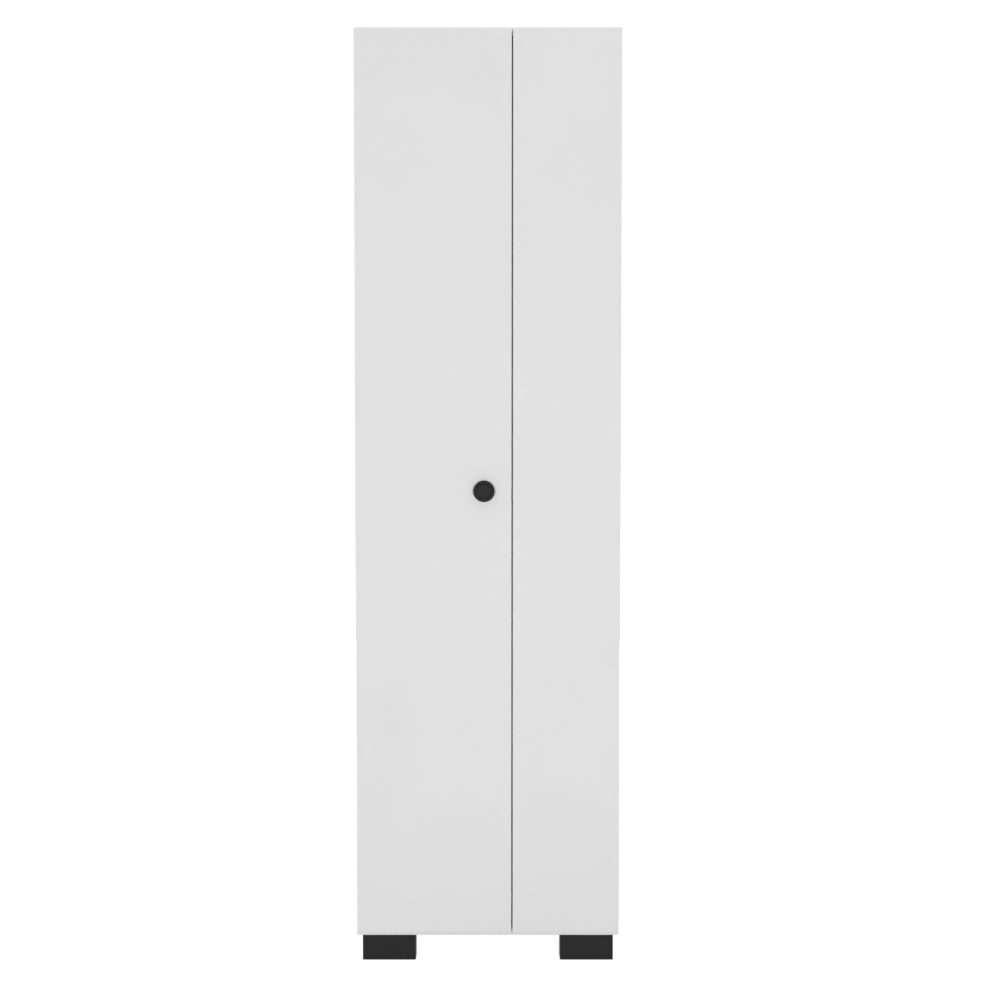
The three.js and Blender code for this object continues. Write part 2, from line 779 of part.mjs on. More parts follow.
function addFeet() {
  const leftX = -sideX + footInset;
  const rightX = sideX - footInset - footLength;
  const frontY = carcassFrontY + footSetback;
  const rearY = carcassRearY - footSetback - footDepth;
  add('front_left_foot', foot(leftX, frontY), blackPlastic);
  add('front_right_foot', foot(rightX, frontY), blackPlastic);
  add('rear_left_foot', foot(leftX, rearY), blackPlastic);
  add('rear_right_foot', foot(rightX, rearY), blackPlastic);
}

function addDoors() {
  add('left_door', door(leftDoor, cupX - sideX, [knobScrewHole()]), whiteBoard);
  add('right_door', door(rightDoor, sideX - cupX, []), whiteBoard);
  add('door_knob', doorKnob(), knobPlastic);
  add('knob_screw', knobScrew(), plainSteel);
  const lowZ = doorBottomZ + bumperMargin + bumperRadius;
  const highZ = doorTopZ - bumperMargin - bumperRadius;
  add('left_door_lower_bumper', doorBumper(leftDoor.x1 - bumperInset, lowZ), clearRubber);
  add('left_door_upper_bumper', doorBumper(leftDoor.x1 - bumperInset, highZ), clearRubber);
  add('right_door_lower_bumper', doorBumper(rightDoor.x0 + bumperInset, lowZ), clearRubber);
  add('right_door_upper_bumper', doorBumper(rightDoor.x0 + bumperInset, highZ), clearRubber);
}

// The five pieces of one hinge, in a group at the carcass's front edge that is mirrored on the right
function addHinge(side, height, z) {
  const hinge = new THREE.Group();
  const mirror = side === 'left' ? 1 : -1;
  hinge.position.set(-mirror * sideX, carcassFrontY, z);
  hinge.scale.x = mirror;
  cupboard.add(hinge);
  const name = `${side}_${height}_hinge`;
  add(`${name}_cup`, hingeCup(), plainSteel, hinge);
  add(`${name}_pin`, hingePin(), plainSteel, hinge);
  add(`${name}_arm`, hingeArm(), plainSteel, hinge);
  add(`${name}_plate`, mountingPlate(), plainSteel, hinge);
  add(`${name}_arm_screw`, armScrew(), plainSteel, hinge);
}

addCarcass();
addBack();
addHooks();
addFeet();
addDoors();
for (const side of ['left', 'right']) {
  for (const [height, z] of Object.entries(hingeHeights)) addHinge(side, height, z);
}

export default cupboard;
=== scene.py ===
# Looks of a white broom cupboard with two doors, a round knob and black plastic feet.
# Everything is in metres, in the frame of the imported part: X to the right, Y to the back, Z up.

import math

import bmesh
import bpy
from mathutils import Matrix, Vector


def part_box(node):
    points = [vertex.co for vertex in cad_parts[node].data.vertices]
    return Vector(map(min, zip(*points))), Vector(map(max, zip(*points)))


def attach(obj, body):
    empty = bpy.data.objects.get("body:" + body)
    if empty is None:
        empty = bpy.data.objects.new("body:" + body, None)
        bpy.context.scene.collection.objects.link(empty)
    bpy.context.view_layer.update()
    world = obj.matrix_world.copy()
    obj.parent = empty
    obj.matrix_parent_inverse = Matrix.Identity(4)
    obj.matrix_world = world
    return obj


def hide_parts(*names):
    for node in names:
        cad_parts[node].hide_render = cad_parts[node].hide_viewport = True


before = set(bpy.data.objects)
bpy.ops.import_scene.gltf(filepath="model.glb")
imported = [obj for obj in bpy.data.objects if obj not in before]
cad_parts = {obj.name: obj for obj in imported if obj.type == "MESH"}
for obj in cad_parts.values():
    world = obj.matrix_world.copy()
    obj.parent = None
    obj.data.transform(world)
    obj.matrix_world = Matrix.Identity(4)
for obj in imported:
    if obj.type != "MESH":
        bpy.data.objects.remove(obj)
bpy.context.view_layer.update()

MM = 0.001
SIDES = ("left", "right")
HEIGHTS = ("lower", "middle", "upper")

# Camera, as fitted to the photograph. The distance is measured from the doors' front.
CAMERA_DISTANCE = 3.0
CAMERA_HEIGHT = 0.992
CAMERA_PITCH = math.radians(2.7)
FOCAL_PIXELS = 1659
IMAGE_PIXELS = 1000
CENTRE_PIXEL_X = 487.89
SENSOR_MM = 36.0

# Colours, linear
FOIL = (0.783, 0.783, 0.783, 1)
BAND = (0.775, 0.775, 0.773, 1)
SEAM = (0.50, 0.50, 0.49, 1)
CHIP_DARK = (0.26, 0.16, 0.085, 1)
CHIP_MID = (0.46, 0.31, 0.18, 1)
CHIP_PALE = (0.66, 0.50, 0.33, 1)
LACQUER = (0.69, 0.69, 0.68, 1)
FIBRE_DARK = (0.165, 0.098, 0.053, 1)
FIBRE_PALE = (0.285, 0.18, 0.10, 1)
FIBRE_FLECK = (0.10, 0.06, 0.034, 1)
STRIP_WHITE = (0.68, 0.68, 0.67, 1)
FOOT_BLACK = (0.0095, 0.0095, 0.0098, 1)
KNOB_BLACK = (0.027, 0.027, 0.0273, 1)
NICKEL = (0.66, 0.65, 0.63, 1)
ZINC = (0.50, 0.50, 0.51, 1)
RUBBER = (0.80, 0.81, 0.79, 1)
FLOOR_BOUNCE = (0.50, 0.50, 0.50, 1)
FLOOR_SEEN = (0.68, 0.68, 0.68, 1)
WHITE = (1, 1, 1, 1)

# Board details. Below the skin's depth, inside every bored hole, a board is bare chipboard.
BAND_THICKNESS = 0.9 * MM
SEAM_WIDTH = 0.12 * MM
SKIN_DEPTH = 0.45 * MM
BOARD_EDGE = 0.4 * MM
SHEET_EDGE = 0.15 * MM

# Mesh details
MERGE_DISTANCE = 0.001 * MM
BOX_REACH = 0.01 * MM
FLAT_ANGLE = math.radians(0.5)
SHARP_ANGLE = math.radians(50)
KNOB_TURNS = 96
KNOB_RIM_STEPS = 20
BUMPER_TURNS = 40
HEAD_TURNS = 28
CAM_TURNS = 40
PEG_TURNS = 24
NAIL_TURNS = 16

# Screws, pegs and nails, as the CAD model's holes and boards place them
CUP_SCREW_INSET, CUP_SCREW_RISE = 31.0 * MM, 22.5 * MM
WING_TOP, WING_SETBACK, WING_RISE = 2.0 * MM, 37 * MM, 16 * MM
ADJUSTER_TOP, ADJUSTER_SETBACK = 6.4 * MM, 22 * MM
CAM_END, CAM_SETBACK, CAM_SUNK = 24 * MM, 40 * MM, 0.3 * MM
PEG_FRONT, PEG_REAR, PEG_CLEARANCE = -108.75 * MM, 147.25 * MM, 0.03 * MM
LOOSE_SHELVES = (1, 3, 4)
FOOT_SCREW_INSET, FOOT_SCREW_SETBACK, FOOT_SCREW_DEPTH = 13.6 * MM, 10.9 * MM, 4.0 * MM
HOOK_PLATE = 3.0 * MM
HOOK_SCREWS = ((56 * MM / 3, 0.4), (49 * MM, 1.3))  # each one's height on the rail, and its turn
SHEET_NAILS, BOARD_NAILS, SHELF_NAILS = 7, 4, 2
SHEET_NAIL_MARGIN, BOARD_NAIL_MARGIN, SHELF_NAIL_MARGIN = 30 * MM, 50 * MM, 40 * MM


# Node helpers

def node(tree, kind, inputs=None, **settings):
    """A new shader node, with its settings and its inputs, each a value or another node's output."""
    made = tree.nodes.new(kind)
    for key, value in settings.items():
        setattr(made, key, value)
    for key, value in (inputs or {}).items():
        if isinstance(value, bpy.types.NodeSocket):
            tree.links.new(value, made.inputs[key])
        else:
            made.inputs[key].default_value = value
    return made


def math_node(tree, operation, a, b=0.0):
    return node(tree, "ShaderNodeMath", {0: a, 1: b}, operation=operation).outputs[0]


def mix(tree, factor, a, b, data_type, first, output):
    """The input a where the factor is 0 and b where it is 1. A Mix node's sockets go by number, as each type
    of data has its own: the first of its two inputs, and its output."""
    made = node(tree, "ShaderNodeMix", {0: factor, first: a, first + 1: b}, data_type=data_type)
    return made.outputs[output]


def mix_value(tree, factor, a, b):
    return mix(tree, factor, a, b, "FLOAT", 2, 0)


def mix_vector(tree, factor, a, b):
    return mix(tree, factor, a, b, "VECTOR", 4, 1)


def mix_colour(tree, factor, a, b):
    return mix(tree, factor, a, b, "RGBA", 6, 2)


def ramp(tree, value, low, high):
    """0 where value is low or less and 1 where it is high or more, smooth between."""
    made = node(tree, "ShaderNodeMapRange", {0: value, 1: low, 2: high}, interpolation_type="SMOOTHSTEP")
    return made.outputs[0]


def noise(tree, place, scale, detail=2.0):
    return node(tree, "ShaderNodeTexNoise", {"Vector": place, "Scale": scale, "Detail": detail}).outputs[0]


def place_of(tree):
    """Each point's place in its piece at rest, in metres, and the way its surface faces there."""
    made = node(tree, "ShaderNodeTexCoord")
    return made.outputs["Object"], made.outputs["Normal"]


def axis_of(tree, vector, axis):
    return node(tree, "ShaderNodeSeparateXYZ", {0: vector}).outputs["XYZ".index(axis)]


def bump(tree, height, distance):
    return node(tree, "ShaderNodeBump", {"Height": height, "Distance": distance, "Strength": 1.0}).outputs[0]


def toned(colour, factor):
    """A colour made darker or paler by a factor."""
    return tuple(factor * channel for channel in colour[:3]) + (1,)


def new_material(name):
    """A material with nothing but a Principled shader, and its tree and shader."""
    material = bpy.data.materials.new(name)
    material.use_nodes = True
    tree = material.node_tree
    tree.nodes.clear()
    shader = node(tree, "ShaderNodeBsdfPrincipled")
    node(tree, "ShaderNodeOutputMaterial", {"Surface": shader.outputs[0]})
    return material, tree, shader


def connect(tree, shader, **sockets):
    """Joins or sets the shader's inputs, named with _ for a space."""
    for key, value in sockets.items():
        target = shader.inputs[key.replace("_", " ")]
        if isinstance(value, bpy.types.NodeSocket):
            tree.links.new(value, target)
        else:
            target.default_value = value


# Board materials

def chipboard(tree, place):
    """The colour and relief of bare chipboard: pressed flakes of mixed tone with dark specks."""
    flakes = node(tree, "ShaderNodeTexVoronoi", {"Vector": place, "Scale": 620.0, "Randomness": 1.0})
    tone = axis_of(tree, flakes.outputs["Color"], "X")
    speck = ramp(tree, noise(tree, place, 1500.0, 4.0), 0.58, 0.70)
    colour = mix_colour(tree, tone, CHIP_MID, CHIP_PALE)
    colour = mix_colour(tree, speck, colour, CHIP_DARK)
    relief = math_node(tree, "ADD", tone, noise(tree, place, 2400.0, 3.0))
    return colour, relief


def distance_from_faces(tree, place, faces):
    """The distance of a point from the nearest of some flat faces: (axis, place on it, way inwards)."""
    nearest = None
    for axis, face, inwards in faces:
        distance = math_node(tree, "SUBTRACT", axis_of(tree, place, axis), face)
        distance = math_node(tree, "MULTIPLY", distance, inwards)
        nearest = distance if nearest is None else math_node(tree, "MINIMUM", nearest, distance)
    return nearest


def faces_of(low, high, sides):
    """The faces that a string such as "-X +Z" names, of the box from low to high."""
    faces = []
    for side in sides.split():
        axis = side[1]
        index = "XYZ".index(axis)
        faces.append((axis, low[index], 1) if side[0] == "-" else (axis, high[index], -1))
    return faces


def melamine_board(name, banded, raw):
    """White foil with a fine pearl relief, plastic bands on the banded edges, and bare chipboard on the
    raw edges and inside every bored hole."""
    low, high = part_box(name)
    material, tree, shader = new_material(f"melamine_{name}")
    place, _ = place_of(tree)
    cloud = noise(tree, place, 4.0, 3.0)
    pearl = noise(tree, place, 950.0, 2.0)
    tone = math_node(tree, "ADD", ramp(tree, cloud, 0.3, 0.7), ramp(tree, pearl, 0.35, 0.65))
    foil = mix_colour(tree, math_node(tree, "MULTIPLY", tone, 0.5), FOIL, toned(FOIL, 0.965))
    roughness = mix_value(tree, cloud, 0.38, 0.46)
    height = pearl

    edge = distance_from_faces(tree, place, faces_of(low, high, banded))
    past_band = ramp(tree, edge, BAND_THICKNESS, BAND_THICKNESS + SEAM_WIDTH)
    on_band = math_node(tree, "SUBTRACT", 1.0, past_band)
    off_seam = math_node(tree, "ABSOLUTE", math_node(tree, "SUBTRACT", edge, BAND_THICKNESS))
    on_seam = math_node(tree, "SUBTRACT", 1.0, ramp(tree, off_seam, 0.0, SEAM_WIDTH))
    colour = mix_colour(tree, on_band, foil, BAND)
    colour = mix_colour(tree, math_node(tree, "MULTIPLY", on_seam, 0.5), colour, SEAM)
    roughness = mix_value(tree, on_band, roughness, 0.33)
    height = mix_value(tree, on_band, height, 0.5)
    height = math_node(tree, "SUBTRACT", height, on_seam)

    depth = distance_from_faces(tree, place, faces_of(low, high, "-X +X -Y +Y -Z +Z"))
    deep = ramp(tree, depth, 0.8 * SKIN_DEPTH, SKIN_DEPTH)
    bare = deep
    if raw:
        near_raw = distance_from_faces(tree, place, faces_of(low, high, raw))
        on_raw = math_node(tree, "SUBTRACT", 1.0, ramp(tree, near_raw, 0.02 * MM, 0.05 * MM))
        bare = math_node(tree, "MAXIMUM", deep, on_raw)
    chip_colour, chip_relief = chipboard(tree, place)
    colour = mix_colour(tree, bare, colour, chip_colour)
    roughness = mix_value(tree, bare, roughness, 0.9)
    foil_normal = bump(tree, height, 0.03 * MM)
    chip_normal = bump(tree, chip_relief, 0.12 * MM)
    normal = mix_vector(tree, bare, foil_normal, chip_normal)
    connect(tree, shader, Base_Color=colour, Roughness=roughness, Normal=normal)
    return material


def back_sheet_material():
    """Thin hardboard: white lacquer towards the shelves, bare brown fibre behind and on its edges."""
    material, tree, shader = new_material("back_sheet")
    place, normal = place_of(tree)
    faces_front = ramp(tree, math_node(tree, "MULTIPLY", axis_of(tree, normal, "Y"), -1.0), 0.5, 0.6)
    stretched = node(tree, "ShaderNodeMapping", {"Vector": place, "Scale": (0.45, 1.0, 1.0)}).outputs[0]
    fibres = noise(tree, stretched, 750.0, 8.0)
    fleck = ramp(tree, noise(tree, place, 420.0, 3.0), 0.60, 0.72)
    clouds = noise(tree, place, 9.0, 3.0)
    brown = mix_colour(tree, ramp(tree, fibres, 0.25, 0.75), FIBRE_DARK, FIBRE_PALE)
    brown = mix_colour(tree, math_node(tree, "MULTIPLY", fleck, 0.35), brown, FIBRE_FLECK)
    brown = mix_colour(tree, math_node(tree, "MULTIPLY", clouds, 0.3), brown, FIBRE_DARK)
    colour = mix_colour(tree, faces_front, brown, LACQUER)
    roughness = mix_value(tree, faces_front, 0.72, 0.5)
    relief = noise(tree, place, 1400.0, 4.0)
    connect(tree, shader, Base_Color=colour, Roughness=roughness, Normal=bump(tree, relief, 0.02 * MM))
    return material


# Plastic, rubber and metal

def moulded_plastic(name, colour, roughness, grain, specular):
    """Moulded plastic with an etched grain and a faint mottle in its gloss."""
    material, tree, shader = new_material(name)
    place, _ = place_of(tree)
    mottle = noise(tree, place, 60.0, 3.0)
    connect(
        tree, shader,
        Base_Color=mix_colour(tree, mottle, colour, toned(colour, 1.12)),
        Roughness=mix_value(tree, mottle, roughness - 0.04, roughness + 0.04),
        Normal=bump(tree, noise(tree, place, grain, 3.0), 0.015 * MM),
        Specular_IOR_Level=specular,
    )
    return material


def extruded_plastic():
    """White plastic strip with the faint lines of its die along X."""
    material, tree, shader = new_material("white_strip")
    place, _ = place_of(tree)
    stretched = node(tree, "ShaderNodeMapping", {"Vector": place, "Scale": (0.01, 1.0, 1.0)}).outputs[0]
    lines = noise(tree, stretched, 1800.0, 2.0)
    connect(
        tree, shader,
        Base_Color=mix_colour(tree, lines, STRIP_WHITE, toned(STRIP_WHITE, 0.97)),
        Roughness=mix_value(tree, lines, 0.34, 0.44),
        Normal=bump(tree, lines, 0.01 * MM),
    )
    return material


def metal(name, colour, roughness, grain):
    """Plated or cast metal with a fine uneven surface."""
    material, tree, shader = new_material(name)
    place, _ = place_of(tree)
    fine = noise(tree, place, grain, 4.0)
    wide = noise(tree, place, 90.0, 2.0)
    connect(
        tree, shader,
        Base_Color=mix_colour(tree, wide, colour, toned(colour, 0.86)),
        Roughness=mix_value(tree, fine, roughness - 0.06, roughness + 0.08),
        Normal=bump(tree, fine, 0.008 * MM),
        Metallic=1.0,
    )
    return material


def clear_rubber():
    """Soft clear plastic, a little cloudy."""
    material, tree, shader = new_material("clear_rubber")
    place, _ = place_of(tree)
    cloud = noise(tree, place, 700.0, 2.0)
    connect(
        tree, shader,
        Base_Color=mix_colour(tree, cloud, RUBBER, toned(RUBBER, 0.94)),
        Roughness=mix_value(tree, cloud, 0.18, 0.30),
        Transmission_Weight=0.6,
        IOR=1.45,
    )
    return material


# Meshes and objects

def mesh_from(made, name):
    """A new mesh with a bmesh's shape."""
    mesh = bpy.data.meshes.new(name)
    made.to_mesh(mesh)
    made.free()
    return mesh


def cad_shape(name):
    """A bmesh of a CAD node's shape, with its triangles joined at their corners."""
    made = bmesh.new()
    made.from_mesh(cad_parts[name].data)
    bmesh.ops.remove_doubles(made, verts=made.verts, dist=MERGE_DISTANCE)
    return made


def round_edges(made, edges, width, clamp=True):
    bmesh.ops.bevel(
        made, geom=edges, offset=width, offset_type="OFFSET", segments=2, profile=0.5,
        affect="EDGES", clamp_overlap=clamp,
    )


def new_object(name, data):
    """A new object in the scene."""
    made = bpy.data.objects.new(name, data)
    bpy.context.scene.collection.objects.link(made)
    return made


def board_piece(name, material, body, width):
    """A copy of a CAD board's shape with its outer edges eased, in its place."""
    low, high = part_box(name)
    made = cad_shape(name)

    def limits(vertex):
        """The faces of the board's box that a vertex lies on."""
        found = set()
        for axis in range(3):
            if abs(vertex.co[axis] - low[axis]) < BOX_REACH:
                found.add((axis, 0))
            if abs(vertex.co[axis] - high[axis]) < BOX_REACH:
                found.add((axis, 1))
        return found

    if width > 0:
        outer = [edge for edge in made.edges if len(limits(edge.verts[0]) & limits(edge.verts[1])) > 1]
        round_edges(made, outer, width, clamp=False)
    mesh = mesh_from(made, name)
    mesh.shade_flat()
    piece = piece_from(f"{name}_board", mesh, material, body)
    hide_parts(name)


def arc(centre_radius, centre_height, radius, start, end, steps):
    """Points on an arc of a turned profile, each a radius and a height, between two angles in degrees."""
    points = []
    for step in range(steps + 1):
        angle = math.radians(start + (end - start) * step / steps)
        points.append((centre_radius + radius * math.cos(angle), centre_height + radius * math.sin(angle)))
    return points


def turned_mesh(name, profile, segments):
    """A closed mesh turned about Z from (radius, height) pairs that start and end on the axis."""
    made = bmesh.new()
    turns = [2 * math.pi * step / segments for step in range(segments)]
    rings = []
    for radius, height in profile:
        ring = [(radius * math.cos(t), radius * math.sin(t), height) for t in turns]
        if radius == 0:
            ring = [(0, 0, height)]
        rings.append([made.verts.new(point) for point in ring])
    for lower, upper in zip(rings, rings[1:]):
        for step in range(segments):
            after = (step + 1) % segments
            below = [lower[step % len(lower)], lower[after % len(lower)]]
            above = [upper[after % len(upper)], upper[step % len(upper)]]
            made.faces.new(list(dict.fromkeys(below + above)))
    bmesh.ops.recalc_face_normals(made, faces=made.faces)
    return mesh_from(made, name)


def smooth(mesh, sharp_degrees=35):
    """Smooth faces, apart from where they meet at more than an angle."""
    mesh.shade_smooth()
    mesh.set_sharp_from_angle(angle=math.radians(sharp_degrees))


def piece_from(name, mesh, material, body, matrix=None):
    """A new piece with a material, that rides on a body."""
    if matrix is not None:
        mesh.transform(matrix)
    mesh.materials.append(material)
    piece = new_object(name, mesh)
    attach(piece, body)
    return piece


def combined(mesh, other, operation):
    """The first mesh with the second cut from it or joined to it, by Blender's exact boolean."""
    body = new_object("body", mesh)
    tool = new_object("tool", other)
    modifier = body.modifiers.new("boolean", "BOOLEAN")
    modifier.operation = operation
    modifier.solver = "EXACT"
    modifier.object = tool
    shaped = body.evaluated_get(bpy.context.evaluated_depsgraph_get())
    result = bpy.data.meshes.new_from_object(shaped)
    bpy.data.objects.remove(body)
    bpy.data.objects.remove(tool)
    return result


def repeated(name, mesh, places):
    """One mesh with a copy of another at each place, a 4x4 matrix."""
    made = bmesh.new()
    for place in places:
        copy = mesh.copy()
        copy.transform(place)
        made.from_mesh(copy)
        bpy.data.meshes.remove(copy)
    return mesh_from(made, name)


def facing(place, direction, spin=0.0):
    """A matrix that takes a piece made along Z to a place, with its Z along a direction."""
    turn = Vector(direction).to_track_quat("Z", "Y").to_matrix().to_4x4()
    return Matrix.Translation(Vector(place)) @ turn @ Matrix.Rotation(spin, 4, "Z")


def weigh_normals(piece):
    """Keeps flat faces flat where they meet rounded edges."""
    weights = piece.modifiers.new("normals", "WEIGHTED_NORMAL")
    weights.mode = "FACE_AREA"
    weights.weight = 90
    weights.keep_sharp = True


def refined(name, width, material, body):
    """A copy of a CAD node's shape with clean flat faces, rounded edges and smooth curves, in its place."""
    made = cad_shape(name)
    bmesh.ops.dissolve_limit(made, angle_limit=FLAT_ANGLE, verts=made.verts, edges=made.edges)
    sharp = [edge for edge in made.edges if edge.calc_face_angle(0) > SHARP_ANGLE]
    round_edges(made, sharp, width)
    bmesh.ops.triangulate(made, faces=[face for face in made.faces if len(face.verts) > 4])
    mesh = mesh_from(made, name)
    smooth(mesh)
    piece = piece_from(f"{name}_shaped", mesh, material, body)
    weigh_normals(piece)
    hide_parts(name)
    return piece


def refined_alike(names, width, material, body):
    """The refined shape of the first of some nodes that differ in place alone, at each of them."""
    first = refined(names[0], width, material, body)
    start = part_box(names[0])[0]
    for name in names[1:]:
        mesh = first.data.copy()
        mesh.materials.clear()
        there = Matrix.Translation(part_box(name)[0] - start)
        piece = piece_from(f"{name}_shaped", mesh, material, body, there)
        weigh_normals(piece)
        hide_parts(name)


# The knob and the bumpers

def make_knob(material):
    """A waisted neck under a wide round-rimmed head, with a shallow dish and a raised button in it."""
    low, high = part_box("door_knob")
    radius = (high.x - low.x) / 2
    length = high.y - low.y
    button_rise, button_radius, rim = 3.0 * MM, 12.0 * MM, 3.6 * MM
    neck_radius, neck_length, seat_radius = 8.5 * MM, 11.5 * MM, 10.3 * MM
    seat_edge, fillet, fillet_centre, lip = 0.4 * MM, 2.2 * MM, 3.6 * MM, 0.6 * MM
    edge, dish, groove = 0.8 * MM, 1.5 * MM, 0.6 * MM
    head_top = length - button_rise
    profile = [
        (0, 0),
        (seat_radius - seat_edge, 0),
        *arc(seat_radius - seat_edge, seat_edge, seat_edge, -90, 0, 3),
        *reversed(arc(neck_radius + fillet, fillet_centre, fillet, 180, 235, 6)),
        *reversed(arc(neck_radius + fillet, neck_length - fillet_centre, fillet, 125, 180, 6)),
        (seat_radius + lip, neck_length),
        *arc(radius - rim, head_top - rim, rim, -62, 90, KNOB_RIM_STEPS),
        (button_radius + edge + groove, head_top - dish),
        *reversed(arc(button_radius + groove, head_top - dish + groove, groove, -90, -180, 3)),
        *arc(button_radius - edge, length - edge, edge, 0, 90, 6),
        (0.5 * button_radius, length),
        (0, length),
    ]
    mesh = turned_mesh("door_knob_head", profile, KNOB_TURNS)
    smooth(mesh, 40)
    centre = Vector(((low.x + high.x) / 2, high.y, (low.z + high.z) / 2))
    outwards = facing(centre, (0, -1, 0))
    knob = piece_from("door_knob_head", mesh, material, "left_door", outwards)
    weigh_normals(knob)
    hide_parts("door_knob")


def make_bumper(name, material, body):
    """A soft clear dome on a thin foot, inside its CAD solid."""
    low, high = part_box(name)
    radius = (high.x - low.x) / 2
    height = high.y - low.y
    foot = 0.25 * height
    edge = 0.15 * MM
    crown = 0.85 * (height - foot)
    profile = [
        (0, 0),
        (radius - edge, 0),
        *arc(radius - edge, edge, edge, -90, 0, 2),
        (radius, foot),
        *arc(radius - crown, foot, crown, 0, 60, 6),
        (0.35 * radius, 0.97 * height),
        (0, height),
    ]
    mesh = turned_mesh(f"{name}_dome", profile, BUMPER_TURNS)
    smooth(mesh, 50)
    centre = Vector(((low.x + high.x) / 2, low.y, (low.z + high.z) / 2))
    dome = piece_from(f"{name}_dome", mesh, material, body, facing(centre, (0, 1, 0)))
    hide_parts(name)


# Fasteners

def cross_cutter(length, width, depth):
    """A plus-shaped recess that narrows downwards, from just above the height zero."""
    half, arm = length / 2, width / 2
    outline = [
        (half, -arm), (half, arm), (arm, arm), (arm, half), (-arm, half), (-arm, arm),
        (-half, arm), (-half, -arm), (-arm, -arm), (-arm, -half), (arm, -half), (arm, -arm),
    ]
    count = len(outline)
    narrow = 0.62
    top = [(x, y, 2 * depth) for x, y in outline]
    middle = [(x, y, 0) for x, y in outline]
    bottom = [(narrow * x, narrow * y, -depth) for x, y in outline]
    faces = [tuple(range(count)), tuple(reversed(range(2 * count, 3 * count)))]
    for ring in (0, count):
        for step in range(count):
            after = (step + 1) % count
            faces.append((ring + after, ring + step, ring + count + step, ring + count + after))
    mesh = bpy.data.meshes.new("cross")
    mesh.from_pydata(top + middle + bottom, [], faces)
    return mesh


def pan_head(radius, height, shank_radius, shank_length):
    """A screw with a domed head on the height zero and a cross recess in it."""
    crown = 0.45 * height
    profile = [
        (0, -shank_length),
        (shank_radius, -shank_length),
        (shank_radius, 0),
        (radius - 0.1 * MM, 0),
        (radius, 0.12 * MM),
        (radius, height - crown),
        (0.93 * radius, height - 0.62 * crown),
        (0.76 * radius, height - 0.27 * crown),
        (0.45 * radius, height - 0.06 * crown),
        (0, height),
    ]
    head = turned_mesh("head", profile, HEAD_TURNS)
    cross = cross_cutter(1.15 * radius, 0.28 * radius, 0.75 * height)
    cross.transform(Matrix.Translation((0, 0, height - 0.05 * crown)))
    screw = combined(head, cross, "DIFFERENCE")
    smooth(screw)
    return screw


def fasteners(name, mesh, places, material, body):
    """One piece made of a fastener at each of its places."""
    piece = piece_from(name, repeated(name, mesh, places), material, body)
    smooth(piece.data)


def hinge_places(side):
    """The hinge's way inwards from its side panel, that panel's inner face, and the hinges' heights."""
    inwards = 1 if side == "left" else -1
    low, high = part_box(f"{side}_side_panel")
    wall = high.x if side == "left" else low.x
    heights = []
    for height in HEIGHTS:
        arm_low, arm_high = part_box(f"{side}_{height}_hinge_arm")
        heights.append((arm_low.z + arm_high.z) / 2)
    return inwards, wall, heights


def make_hinge_screws(material):
    """The screws of the cups, on the doors, and of the plates and arms, on the carcass."""
    cup_screw = pan_head(radius=3.3 * MM, height=1.3 * MM, shank_radius=1.7 * MM, shank_length=8 * MM)
    plate_screw = pan_head(radius=3.7 * MM, height=1.7 * MM, shank_radius=2.0 * MM, shank_length=9 * MM)
    adjuster = pan_head(radius=2.5 * MM, height=0.7 * MM, shank_radius=2.3 * MM, shank_length=0.8 * MM)
    plates, adjusters = [], []
    carcass_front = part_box("top_panel")[0].y
    for side in SIDES:
        inwards, wall, heights = hinge_places(side)
        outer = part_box(f"{side}_side_panel")[0 if side == "left" else 1].x
        cups = []
        for number, height in enumerate(heights):
            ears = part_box(f"{side}_{HEIGHTS[number]}_hinge_cup")[1].y
            for sign in (-1, 1):
                ear = (outer + inwards * CUP_SCREW_INSET, ears, height + sign * CUP_SCREW_RISE)
                cups.append(facing(ear, (0, 1, 0), 0.5 * number + 0.7 * sign))
                wing = (wall + inwards * WING_TOP, carcass_front + WING_SETBACK, height + sign * WING_RISE)
                plates.append(facing(wing, (inwards, 0, 0), 1.1 * number - 0.4 * sign))
            hole = (wall + inwards * ADJUSTER_TOP, carcass_front + ADJUSTER_SETBACK, height)
            adjusters.append(facing(hole, (inwards, 0, 0), 0.3 + 0.8 * number))
        fasteners(f"{side}_cup_screws", cup_screw, cups, material, f"{side}_door")
    fasteners("plate_screws", plate_screw, plates, material, "carcass")
    fasteners("adjuster_screws", adjuster, adjusters, material, "carcass")


def cam_lock():
    """A cast cam with a cross recess, an arrow notch and a ring groove in its face, on the height zero."""
    radius, length = 7.1 * MM, 11.0 * MM
    lower_edge, upper_edge, groove = 0.4 * MM, 0.35 * MM, 0.25 * MM
    groove_radii = (5.6 * MM, 5.45 * MM, 5.15 * MM, 5.0 * MM)
    profile = [
        (0, -length),
        (radius - lower_edge, -length),
        (radius, -length + lower_edge),
        (radius, -upper_edge),
        (radius - upper_edge, 0),
        *zip(groove_radii, (0, -groove, -groove, 0)),
        (0, 0),
    ]
    cross = cross_cutter(length=7.6 * MM, width=1.7 * MM, depth=2.4 * MM)
    cam = combined(turned_mesh("cam", profile, CAM_TURNS), cross, "DIFFERENCE")
    notch = bpy.data.meshes.new("notch")
    tip, back, half, deep, over = 5.75 * MM, 7.4 * MM, 0.9 * MM, -0.8 * MM, 0.5 * MM
    corners = [(tip, 0), (back, half), (back, -half)]
    notch.from_pydata(
        [(x, y, deep) for x, y in corners] + [(x, y, over) for x, y in corners], [],
        [(2, 1, 0), (3, 4, 5), (0, 1, 4, 3), (1, 2, 5, 4), (2, 0, 3, 5)],
    )
    cam = combined(cam, notch, "DIFFERENCE")
    smooth(cam)
    return cam


